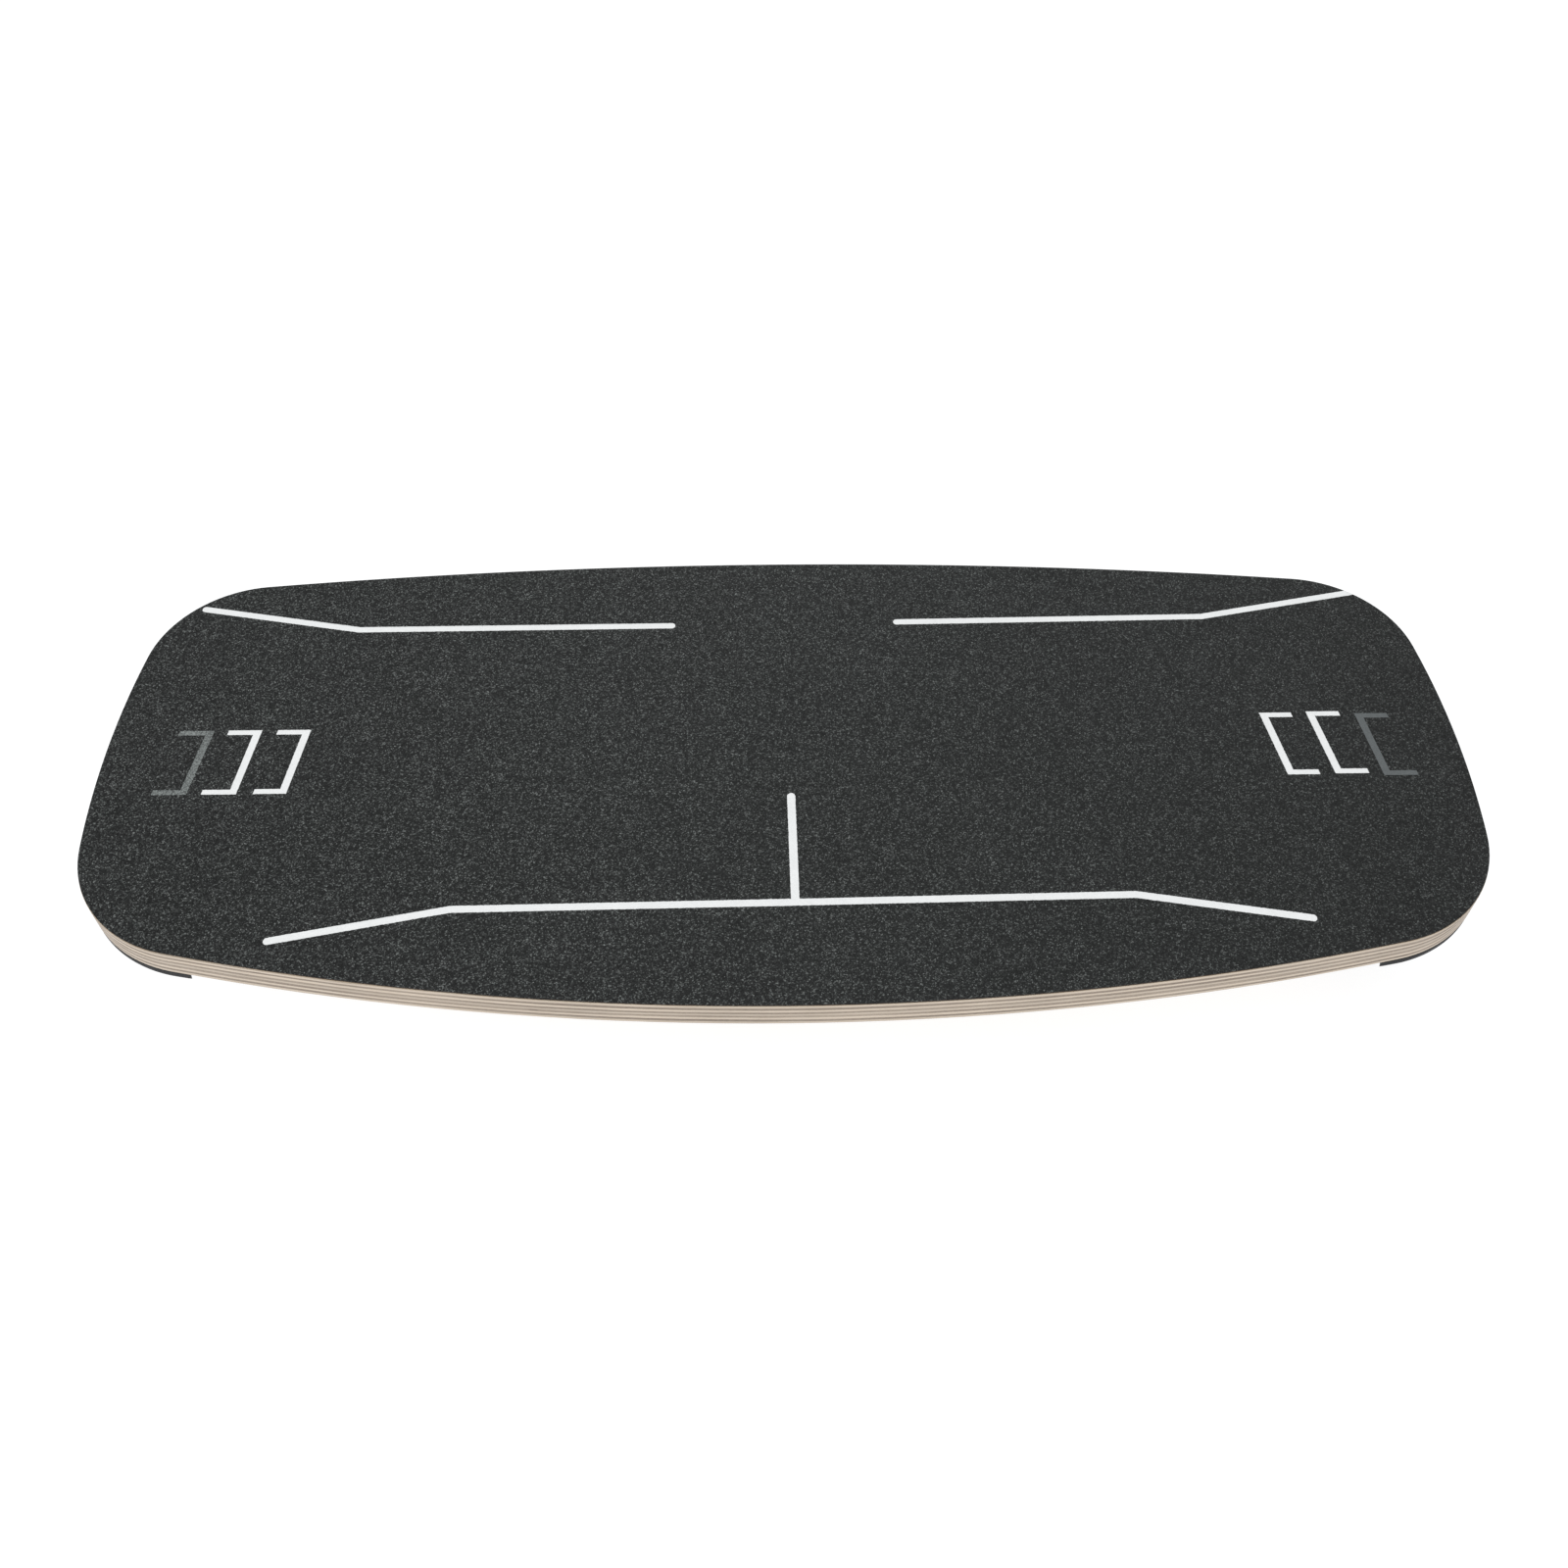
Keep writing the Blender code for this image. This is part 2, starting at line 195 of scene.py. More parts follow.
# ---------------------------------------------------------------- materials
def plywood(name, axis, low, thickness, plies, tint=(1.0, 1.0, 1.0)):
    """Birch plywood stacked along axis (1 is Y, 2 is Z), from low upwards.  The
    faces show rotary-cut veneer with its grain along X, and every edge shows
    the plies, alternately long grain and end grain."""
    g = Graph(name)
    g.set(Specular_IOR_Level=0.30)
    x, y, z = g.split(g.coord)
    geo = g.node("ShaderNodeNewGeometry")
    nx, ny, nz = g.split(geo.outputs["Normal"])
    across = (y, z)[axis - 1]
    other = (z, y)[axis - 1]
    n_face = (ny, nz)[axis - 1]
    face = g.remap(g.math("ABSOLUTE", n_face), 0.80, 0.93, smooth=True)
    end = g.remap(g.math("ABSOLUTE", nx), 0.55, 0.85, smooth=True)

    # plies on the edge, with boundaries that wander a little
    along = g.join(x, other, 0.0)
    wander = g.noise(9.0, 2.0, 0.5, along)
    fine = g.noise(160.0, 2.0, 0.6, along)
    t = g.math("MULTIPLY", g.math("SUBTRACT", across, low), plies / thickness)
    t = g.math("ADD", t, g.math("MULTIPLY", g.math("SUBTRACT", wander, 0.5), 0.60))
    t = g.math("ADD", t, g.math("MULTIPLY", g.math("SUBTRACT", fine, 0.5), 0.12))
    # the plies aren't all of one thickness
    uneven = g.noise(1.0, 1.0, 0.5, g.join(g.math("MULTIPLY", x, 2.2), g.math("MULTIPLY", other, 2.2),
                                           g.math("MULTIPLY", across, 240.0)))
    t = g.math("ADD", t, g.math("MULTIPLY", g.math("SUBTRACT", uneven, 0.5), 1.1))
    idx = g.math("FLOOR", t)
    frac = g.math("FRACT", t)
    # 0 where the fibres run along the edge, 1 where they are cut across; the
    # sanded boundary between two plies is soft
    wave = g.math("FRACT", g.math("ADD", g.math("MULTIPLY_ADD", t, 0.5, 0.25), 40.0))
    wave = g.math("MULTIPLY", g.math("ABSOLUTE", g.math("SUBTRACT", wave, 0.5)), 2.0)
    parity = g.remap(wave, 0.34, 0.66, smooth=True)
    cross = g.math("ABSOLUTE", g.math("SUBTRACT", parity, end))
    fade = g.noise(1.0, 2.0, 0.55, g.join(g.math("MULTIPLY", x, 7.0), g.math("MULTIPLY", other, 7.0),
                                          g.math("MULTIPLY", across, 420.0)))
    cross = g.math("MULTIPLY", cross, g.remap(fade, 0.36, 0.62, 0.62, 1.0))

    ply_tone = g.node("ShaderNodeTexWhiteNoise", noise_dimensions="1D")
    g.feed(ply_tone.inputs["W"], idx)
    # long fibres: streaks drawn out along the edge
    streak_v = g.join(g.math("MULTIPLY", x, 26.0), g.math("MULTIPLY", other, 26.0),
                      g.math("MULTIPLY", across, 1900.0))
    streak = g.noise(1.0, 4.0, 0.62, streak_v)
    light = g.ramp(streak, [(0.25, (0.415, 0.342, 0.272)), (0.50, (0.530, 0.450, 0.366)),
                            (0.78, (0.615, 0.537, 0.450))])
    # end grain: fine pores
    pore_v = g.join(g.math("MULTIPLY", x, 700.0), g.math("MULTIPLY", other, 700.0),
                    g.math("MULTIPLY", across, 1500.0))
    pore = g.noise(1.0, 3.0, 0.7, pore_v)
    dark = g.ramp(pore, [(0.30, (0.170, 0.134, 0.104)), (0.55, (0.235, 0.188, 0.149)),
                         (0.80, (0.330, 0.272, 0.220))])
    ply = g.mix(cross, light, dark)
    ply = g.mix(1.0, ply, g.ramp(ply_tone.outputs["Value"], [(0.0, 0.90), (1.0, 1.08)]), "MULTIPLY")
    # glue lines, thin and broken
    edge_d = g.math("MINIMUM", frac, g.math("SUBTRACT", 1.0, frac))
    glue_on = g.remap(g.noise(34.0, 2.0, 0.6, g.join(x, other, g.math("MULTIPLY", idx, 0.37))), 0.40, 0.60)
    glue = g.math("MULTIPLY", g.remap(edge_d, 0.10, 0.02, smooth=True), g.math("MULTIPLY_ADD", glue_on, 0.40, 0.05))
    ply = g.mix(glue, ply, (0.150, 0.105, 0.072))
    # small core voids and splits in the cross plies: their relief is real, and their dark colour is painted shade
    # inside them
    void_v = g.join(g.math("MULTIPLY", x, 55.0), g.math("MULTIPLY", other, 55.0),
                    g.math("MULTIPLY", across, 620.0))
    void = g.math("MULTIPLY", g.remap(g.noise(1.0, 1.0, 0.5, void_v), 0.725, 0.770, smooth=True), cross)
    ply = g.mix(g.math("MULTIPLY", void, 0.85), ply, (0.070, 0.045, 0.030))
    # handling and sanding tone along the edge
    tone = g.ramp(g.noise(14.0, 3.0, 0.55, along), [(0.30, 0.90), (0.70, 1.06)])
    ply = g.mix(1.0, ply, tone, "MULTIPLY")

    # face veneer: flame figure of a rotary cut, pores, a few pin knots
    fig_v = g.join(g.math("MULTIPLY", x, 1.1), g.math("MULTIPLY", other, 9.0), 3.0)
    warp = g.noise(1.0, 3.0, 0.55, fig_v)
    rings = g.node("ShaderNodeTexWave", wave_type="BANDS", bands_direction="Y", wave_profile="SIN")
    g.link(g.join(g.math("MULTIPLY", x, 0.35), g.math("ADD", g.math("MULTIPLY", other, 4.2),
                  g.math("MULTIPLY", warp, 3.2)), 0.0), rings.inputs["Vector"])
    rings.inputs["Scale"].default_value = 2.3
    rings.inputs["Distortion"].default_value = 0.5
    rings.inputs["Detail"].default_value = 1.0
    rings.inputs["Detail Scale"].default_value = 1.0
    fibre = g.noise(1.0, 5.0, 0.68, g.join(g.math("MULTIPLY", x, 16.0), g.math("MULTIPLY", other, 620.0), 7.0))
    veneer = g.ramp(rings.outputs["Fac"], [(0.0, (0.580, 0.468, 0.345)), (0.5, (0.640, 0.532, 0.405)),
                                           (1.0, (0.685, 0.585, 0.458))])
    veneer = g.mix(1.0, veneer, g.ramp(fibre, [(0.28, 0.80), (0.55, 1.0), (0.80, 1.07)]), "MULTIPLY")
    knot = g.cells(11.0, vector=g.join(x, g.math("MULTIPLY", other, 1.5), 0.0))
    knot_r, _, _ = g.split(knot.outputs["Color"])
    is_knot = g.math("MULTIPLY", g.math("GREATER_THAN", knot_r, 0.86),
                     g.remap(knot.outputs["Distance"], 0.040, 0.018, smooth=True))
    veneer = g.mix(g.math("MULTIPLY", is_knot, 0.75), veneer, (0.170, 0.095, 0.050))
    color = g.mix(face, ply, veneer)
    color = g.mix(1.0, color, tint, "MULTIPLY")

    rough = g.remap(g.noise(90.0, 2.0, 0.5), 0.3, 0.7, 0.50, 0.66)
    relief_edge = g.math("SUBTRACT", g.math("MULTIPLY", pore, 0.30),
                         g.math("ADD", g.math("MULTIPLY", glue, 1.0), g.math("MULTIPLY", void, 1.5)))
    relief_face = g.math("SUBTRACT", g.math("MULTIPLY", fibre, 0.35), g.math("MULTIPLY", is_knot, 0.4))
    height = g.math("ADD", g.math("MULTIPLY", relief_edge, g.math("SUBTRACT", 1.0, face)),
                    g.math("MULTIPLY", relief_face, face))
    return g.finish(color, rough, g.bump(height, 0.55, 0.00018))


def grit_relief(g):
    """The grain of the abrasive, in mineral sizes from about 0.35 to 1 mm."""
    big = g.cells(1250.0)
    small = g.cells(2300.0)
    return big, small


def grip_material():
    g = Graph("charcoal_grit")
    g.set(Specular_IOR_Level=0.22)
    big, small = grit_relief(g)
    br, bg, _ = g.split(big.outputs["Color"])
    sr, sg, _ = g.split(small.outputs["Color"])
    value = g.math("MULTIPLY_ADD", sr, 0.42, g.math("MULTIPLY", br, 0.58))
    grains = g.ramp(value, [(0.05, 0.0023), (0.38, 0.0082), (0.62, 0.0234), (0.80, 0.0937), (0.95, 0.2635)])
    # painted light: the grains keep more of their contrast on the left of the sheet and fade towards a flat grey on the
    # right
    px, _, _ = g.split(g.coord)
    grains = g.mix(g.ramp(g.remap(px, -0.40, 0.40), [(0.0, 0.90), (0.5, 0.75), (1.0, 0.67)]),
                   (0.0338, 0.0338, 0.0338), grains)
    # a few faces of the crystals catch the light
    sparkle = g.math("MULTIPLY", g.math("GREATER_THAN", bg, 0.968), g.remap(big.outputs["Distance"], 0.55, 0.25))
    grains = g.mix(g.math("MULTIPLY", sparkle, 0.75), grains, (0.150, 0.158, 0.158))
    # binder showing between the grains
    gap = g.remap(big.outputs["Distance"], 0.48, 0.80, smooth=True)
    grains = g.mix(g.math("MULTIPLY", gap, 0.45), grains, (0.0135, 0.0145, 0.0145))
    cloud = g.ramp(g.noise(16.0, 4.0, 0.6), [(0.30, 0.94), (0.70, 1.06)])
    fine = g.ramp(g.noise(210.0, 2.0, 0.6), [(0.30, 0.90), (0.70, 1.10)])
    # painted shade: the sheet is painted a touch paler on its left half than on the right, and darker at the front than
    # at the back
    x, y, _ = g.split(g.coord)
    painted_falloff = g.ramp(g.remap(x, -0.40, 0.40), [(0.0, 0.94), (0.33, 1.02), (0.60, 0.95), (0.83, 0.82), (1.0, 0.75)])
    painted_falloff = g.mix(1.0, painted_falloff, g.ramp(g.remap(y, -0.17, 0.17), [(0.0, 0.95), (0.5, 1.0), (1.0, 1.05)]), "MULTIPLY")
    color = g.mix(1.0, grains, cloud, "MULTIPLY")
    color = g.mix(1.0, color, fine, "MULTIPLY")
    color = g.mix(1.0, color, painted_falloff, "MULTIPLY")
    color = g.mix(1.0, color, (0.975, 1.035, 1.005), "MULTIPLY")
    # the cut edge shows the backing, brown with glue and sanding dust
    geo = g.node("ShaderNodeNewGeometry")
    _, _, nz = g.split(geo.outputs["True Normal"])
    side = g.math("LESS_THAN", g.math("ABSOLUTE", nz), 0.5)
    rim = g.ramp(g.noise(260.0, 3.0, 0.6), [(0.30, (0.018, 0.013, 0.010)), (0.70, (0.058, 0.041, 0.031))])
    color = g.mix(side, color, rim)
    height = g.math("ADD", g.math("MULTIPLY", g.remap(big.outputs["Distance"], 0.0, 0.75, 1.0, 0.0), g.math("MULTIPLY_ADD", br, 0.7, 0.3)),
                    g.math("MULTIPLY", g.remap(small.outputs["Distance"], 0.0, 0.7, 1.0, 0.0), 0.35))
    rough = g.remap(sg, 0.0, 1.0, 0.72, 0.98)
    return g.finish(color, rough, g.bump(height, 0.75, 0.00030))


def ink_material(name, rgb, cover):
    """Ink printed over the grit: the grains stand through it as faint relief,
    and cover says how much of the grit's own tone it hides."""
    g = Graph(name)
    g.set(Specular_IOR_Level=0.25)
    big, small = grit_relief(g)
    br, _, _ = g.split(big.outputs["Color"])
    sr, _, _ = g.split(small.outputs["Color"])
    mottle = g.math("MULTIPLY_ADD", sr, 0.5, g.math("MULTIPLY", br, 0.5))
    lo = 1.0 - (1.0 - cover)
    tone = g.ramp(mottle, [(0.15, lo), (0.60, 1.0), (0.95, 1.0 + (1.0 - cover) * 0.7)])
    cloud = g.ramp(g.noise(60.0, 3.0, 0.6), [(0.30, 0.97), (0.70, 1.02)])
    color = g.mix(1.0, tone, cloud, "MULTIPLY")
    color = g.mix(1.0, color, rgb, "MULTIPLY")
    # pinholes where a tall grain broke through
    pin = g.math("MULTIPLY", g.math("GREATER_THAN", br, 0.985), g.remap(big.outputs["Distance"], 0.40, 0.20))
    color = g.mix(g.math("MULTIPLY", pin, 0.35), color, (0.10, 0.10, 0.10))
    height = g.remap(big.outputs["Distance"], 0.0, 0.75, 1.0, 0.0)
    return g.finish(color, 0.78, g.bump(height, 0.35, 0.00018))


def rubber_material(name, rgb, grain, rough=(0.58, 0.80)):
    g = Graph(name)
    g.set(Specular_IOR_Level=0.38)
    pebble = g.cells(grain)
    h = g.remap(pebble.outputs["Distance"], 0.0, 0.8, 1.0, 0.0)
    cloud = g.noise(45.0, 4.0, 0.6)
    dust = g.remap(g.noise(240.0, 4.0, 0.7), 0.58, 0.80, 0.0, 0.20)
    color = g.mix(dust, rgb, tuple(c * 3.2 + 0.012 for c in rgb))
    color = g.mix(1.0, color, g.ramp(cloud, [(0.30, 0.86), (0.70, 1.12)]), "MULTIPLY")
    r = g.remap(cloud, 0.35, 0.65, rough[0], rough[1])
    return g.finish(color, r, g.bump(h, 0.45, 0.00012))


def adhesive_material():
    g = Graph("adhesive_film")
    g.set(Specular_IOR_Level=0.3)
    n = g.noise(420.0, 3.0, 0.6)
    color = g.ramp(n, [(0.3, (0.030, 0.022, 0.016)), (0.7, (0.070, 0.052, 0.038))])
    return g.finish(color, 0.6, g.bump(n, 0.3, 0.0001))


def zinc_material():
    g = Graph("zinc_plate")
    g.set(Metallic=1.0)
    spangle = g.cells(900.0)
    r, _, _ = g.split(spangle.outputs["Color"])
    soil = g.noise(700.0, 4.0, 0.65)
    color = g.ramp(r, [(0.0, (0.52, 0.53, 0.53)), (1.0, (0.68, 0.68, 0.65))])
    color = g.mix(g.remap(soil, 0.56, 0.75, 0.0, 0.55), color, (0.26, 0.24, 0.21))
    rough = g.remap(soil, 0.3, 0.7, 0.26, 0.46)
    scratch = g.noise(1.0, 3.0, 0.6, g.scaled((500.0, 4200.0, 900.0)))
    return g.finish(color, rough, g.bump(scratch, 0.22, 0.00004))


def beech_material():
    g = Graph("turned_beech")
    g.set(Specular_IOR_Level=0.32)
    x, y, z = g.split(g.coord)
    grain = g.noise(1.0, 4.0, 0.6, g.join(g.math("MULTIPLY", x, 420.0), g.math("MULTIPLY", y, 11.0), g.math("MULTIPLY", z, 420.0)))
    fleck = g.noise(1.0, 2.0, 0.5, g.join(g.math("MULTIPLY", x, 900.0), g.math("MULTIPLY", y, 150.0), g.math("MULTIPLY", z, 900.0)))
    color = g.ramp(grain, [(0.25, (0.420, 0.285, 0.175)), (0.55, (0.585, 0.425, 0.285)), (0.80, (0.680, 0.520, 0.370))])
    color = g.mix(g.remap(fleck, 0.60, 0.72, 0.0, 0.55), color, (0.330, 0.210, 0.125))
    return g.finish(color, g.remap(grain, 0.3, 0.7, 0.48, 0.64), g.bump(grain, 0.35, 0.00012))


M_DECK = plywood("birch_deck", 2, DECK_Z0, DECK_Z1 - DECK_Z0, PLIES)
M_RAIL_F = plywood("birch_rail_front", 1, rail_lo.y, rail_hi.y - rail_lo.y, PLIES)
back_lo, back_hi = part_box("rocker_rail_back")
M_RAIL_B = plywood("birch_rail_back", 1, back_lo.y, back_hi.y - back_lo.y, PLIES)
M_GRIP = grip_material()
M_INK = ink_material("ink_white", (0.780, 0.790, 0.788), 0.95)
# painted light and shade: the two grey inks are one grey, painted lighter on the left bracket and darker on the right
# bracket; the left one also hides less of the grit
M_GREY_INK_LIT = ink_material("grey_ink_painted_light_left", (0.180, 0.195, 0.190), 0.30)
M_GREY_INK_SHADED = ink_material("grey_ink_painted_shade_right", (0.111, 0.121, 0.123), 0.86)
M_PAD = rubber_material("moulded_rubber", (0.0105, 0.0105, 0.0112), 1700.0)
M_TREAD = rubber_material("tread_rubber", (0.0270, 0.0270, 0.0278), 1300.0, (0.68, 0.88))
M_GLUE = adhesive_material()
M_ZINC = zinc_material()
M_BEECH = beech_material()


# --------------------------------------------------------------- 2D outlines
def arc(cx, cy, r, a0, a1, n):
    return [(cx + r * math.cos(a0 + (a1 - a0) * i / n),
             cy + r * math.sin(a0 + (a1 - a0) * i / n)) for i in range(n + 1)]


def quarter(side_r, corner_r, inset, n=(60, 44, 30)):
    a, b = LENGTH / 2, WIDTH / 2
    c1, c2 = Vector((0.0, b - side_r)), Vector((a - END_R, 0.0))
    d1, d2 = side_r - corner_r, END_R - corner_r
    gap = c2 - c1
    dist = gap.length
    x = (d1 * d1 - d2 * d2 + dist * dist) / (2 * dist)
    h = math.sqrt(d1 * d1 - x * x)
    e = gap / dist
    nrm = Vector((-e.y, e.x))
    c = max((c1 + e * x + nrm * h, c1 + e * x - nrm * h), key=lambda p: p.x + p.y)
    a1 = math.atan2(c.y - c1.y, c.x - c1.x)
    a2 = math.atan2(c.y - c2.y, c.x - c2.x)
    return (arc(c1.x, c1.y, side_r - inset, math.pi / 2, a1, n[0])
            + arc(c.x, c.y, corner_r - inset, a1, a2, n[1])[1:]
            + arc(c2.x, c2.y, END_R - inset, a2, 0.0, n[2])[1:])


def right_half(inset):
    back = quarter(BACK_R, BACK_CORNER_R, inset)
    front = [(x, -y) for x, y in quarter(FRONT_R, FRONT_CORNER_R, inset)]
    return back + front[::-1][1:]


def deck_outline(inset=0.0):
    right = right_half(inset)
    return right + [(-x, y) for x, y in right[::-1][1:-1]]


def signed_area(p):
    return 0.5 * sum(p[i - 1][0] * p[i][1] - p[i][0] * p[i - 1][1] for i in range(len(p)))


def clip_convex(subject, clip):
    """Keeps the part of a polygon that lies inside a convex one."""
    if signed_area(clip) < 0:
        clip = clip[::-1]
    out = list(subject)
    for i in range(len(clip)):
        (x0, y0), (x1, y1) = clip[i - 1], clip[i]

        def side(p):
            return (x1 - x0) * (p[1] - y0) - (y1 - y0) * (p[0] - x0)

        src, out = out, []
        for j in range(len(src)):
            p, q = src[j - 1], src[j]
            sp, sq = side(p), side(q)
            if (sp >= 0) != (sq >= 0):
                t = sp / (sp - sq)
                out.append((p[0] + t * (q[0] - p[0]), p[1] + t * (q[1] - p[1])))
            if sq >= 0:
                out.append(q)
        if not out:
            return out
    return out


def strip(path, width, round_start=True, round_end=True):
    """Outline of a stroke of constant width along a path, mitred at its bends."""
    pts = [Vector(p) for p in path]
    # the path's ends are the tips of the round caps
    if round_start:
        pts[0] += (pts[1] - pts[0]).normalized() * width / 2
    if round_end:
        pts[-1] += (pts[-2] - pts[-1]).normalized() * width / 2
    left, right = [], []
    for i, p in enumerate(pts):
        d0 = (p - pts[i - 1]).normalized() if i else None
        d1 = (pts[i + 1] - p).normalized() if i < len(pts) - 1 else None
        n0 = Vector((-d0.y, d0.x)) if d0 else None
        n1 = Vector((-d1.y, d1.x)) if d1 else None
        if d0 and d1:
            m = (n0 + n1).normalized()
            off = m * (width / 2 / m.dot(n1))
        else:
            off = (n0 or n1) * width / 2
        left.append(p + off)
        right.append(p - off)
    poly = [tuple(p) for p in left]
    if round_end:
        d = (pts[-1] - pts[-2]).normalized()
        a = math.atan2(d.y, d.x)
        poly += arc(pts[-1].x, pts[-1].y, width / 2, a + math.pi / 2, a - math.pi / 2, 14)[1:-1]
    poly += [tuple(p) for p in right[::-1]]
    if round_start:
        d = (pts[0] - pts[1]).normalized()
        a = math.atan2(d.y, d.x)
        poly += arc(pts[0].x, pts[0].y, width / 2, a + math.pi / 2, a - math.pi / 2, 14)[1:-1]
    return poly


def ragged(poly, step, amount, seed):
    """Resamples an outline and moves it in and out a little, as ink on grit."""
    if signed_area(poly) < 0:
        poly = poly[::-1]
    pts = []
    for i in range(len(poly)):
        p, q = Vector(poly[i - 1]), Vector(poly[i])
        n = max(1, int(round((q - p).length / step)))
        pts += [p.lerp(q, k / n) for k in range(n)]
    out = []
    for i, p in enumerate(pts):
        t = (pts[(i + 1) % len(pts)] - pts[i - 1])
        if t.length < 1e-9:
            out.append(tuple(p))
            continue
        t.normalize()
        v = noise.noise(Vector((p.x * 900.0 + seed * 7.3, p.y * 900.0, seed)))
        v += 0.5 * noise.noise(Vector((p.x * 2100.0, p.y * 2100.0 + seed, 4.0)))
        out.append((p.x + t.y * v * amount, p.y - t.x * v * amount))
    return out


def link(obj):
    bpy.context.scene.collection.objects.link(obj)
    return obj


def finish_piece(obj, mat, smooth=35.0):
    obj.data.materials.clear()
    obj.data.materials.append(mat)
    if smooth:
        obj.data.shade_smooth()
        obj.data.set_sharp_from_angle(angle=math.radians(smooth))
    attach(obj, "root")
    return obj


def flat_piece(name, poly, z0, z1):
    """A closed plate from an outline."""
    if signed_area(poly) < 0:
        poly = poly[::-1]
    bm = bmesh.new()
    low = [bm.verts.new((x, y, z0)) for x, y in poly]
    high = [bm.verts.new((x, y, z1)) for x, y in poly]
    bm.faces.new(low[::-1])
    bm.faces.new(high)
    n = len(poly)
    for i in range(n):
        bm.faces.new((low[i - 1], low[i], high[i], high[i - 1]))
    bm.normal_update()
    bmesh.ops.triangulate(bm, faces=[f for f in bm.faces if len(f.verts) > 4],
                          quad_method="BEAUTY", ngon_method="EAR_CLIP")
    bmesh.ops.recalc_face_normals(bm, faces=bm.faces)
    mesh = bpy.data.meshes.new(name)
    bm.to_mesh(mesh)
    bm.free()
    return link(bpy.data.objects.new(name, mesh))


# -------------------------------------------------------------- printed marks
# Where the marks lie on the sheet, in millimetres from its middle.  The print
# was laid a fraction of a degree out of square with the deck.
MM = 0.001
LINE_W = 4.5 * MM
INK_LIFT, INK_T = 0.00003, 0.00010
INK_Z0, INK_Z1 = GRIP_Z1 + INK_LIFT, GRIP_Z1 + INK_LIFT + INK_T
FRONT_LINE = [(-281.8, -122.9), (-184.0, -103.0), (4.5, -100.5), (191.6, -97.6), (287.9, -114.5)]
FRONT_STEM = [(4.5, -99.6), (3.37, -26.9)]
BACK_LEFT = [(-368.4, 128.5), (-265.9, 109.1), (-67.5, 110.4)]
BACK_RIGHT = [(69.9, 112.1), (265.4, 114.7), (374.0, 136.9)]
# each bracket: the two corners of its spine, and its two arms' outer ends
BRACKETS = {
    "left_outer": ((-341.6, 24.9), (-347.5, -20.0), -359.8, -365.5, M_GREY_INK_LIT),
    "left_middle": ((-313.3, 25.0), (-318.8, -20.0), -330.9, -336.8, M_INK),
    "left_inner": ((-284.3, 25.0), (-290.0, -19.8), -301.7, -306.9, M_INK),
    "right_inner": ((288.4, 31.8), (295.3, -12.4), 305.3, 312.1, M_INK),
    "right_middle": ((316.6, 32.5), (323.3, -11.9), 334.1, 340.8, M_INK),
    "right_outer": ((345.6, 30.7), (351.5, -13.6), 362.9, 369.2, M_GREY_INK_SHADED),
}
SPINE_W, ARM_W = 4.4, 3.5
sheet_edge = deck_outline(0.0006)


def print_mark(name, poly, mat, seed):
    poly = clip_convex(ragged(poly, 0.0005, 0.00018, seed), sheet_edge)
    piece = flat_piece(name, poly, INK_Z0, INK_Z1)
    return finish_piece(piece, mat, 0)


def in_metres(pts):
    return [(x * MM, y * MM) for x, y in pts]


# the front line and its stem are one printed figure
front = strip(in_metres(FRONT_LINE), LINE_W)
stem_w = 4.7 * MM
(sx0, sy0), (sx1, sy1) = in_metres(FRONT_STEM)
d = (Vector((sx1, sy1)) - Vector((sx0, sy0))).normalized()
side = Vector((d.y, -d.x)) * stem_w / 2


def join_stem(line):
    """Adds the upright stem to the line's far side."""
    tip = arc(sx1, sy1, stem_w / 2, math.atan2(-side.y, -side.x), math.atan2(-side.y, -side.x) - math.pi, 14)
    # the line's far side is the left-hand run of the strip, from its first bend to its last
    run = line[:5]
    k = 2
    left_foot = (sx0 - side.x, run[k][1])
    right_foot = (sx0 + side.x, run[k][1])
    return run[:k] + [left_foot] + tip + [right_foot] + run[k + 1:] + line[5:]


print_mark("foot_line_front", join_stem(front), M_INK, 1)
print_mark("foot_line_back_left", strip(in_metres(BACK_LEFT), LINE_W), M_INK, 2)
print_mark("foot_line_back_right", strip(in_metres(BACK_RIGHT), LINE_W), M_INK, 3)
for k, (name, (top, low, top_end, low_end, mat)) in enumerate(BRACKETS.items()):
    lean = (top[0] - low[0]) / (top[1] - low[1])
    sgn = 1.0 if top_end > top[0] else -1.0
    h = ARM_W / 2

    def at(p, dx, dy):
        return (p[0] + dx + lean * dy, p[1] + dy)

    w = SPINE_W / 2
    poly = [at(top, -sgn * w, h), at((top_end, top[1]), 0, h), at((top_end, top[1]), 0, -h), at(top, sgn * w, -h),
            at(low, sgn * w, h), at((low_end, low[1]), 0, h), at((low_end, low[1]), 0, -h), at(low, -sgn * w, -h)]
    print_mark("stance_mark_" + name, in_metres(poly), mat, 10 + k)


# ------------------------------------------------------------- adhesive film
film = flat_piece("grip_adhesive", deck_outline(0.00045), DECK_Z1 + 0.00002, GRIP_Z0 - 0.00002)
finish_piece(film, M_GLUE)


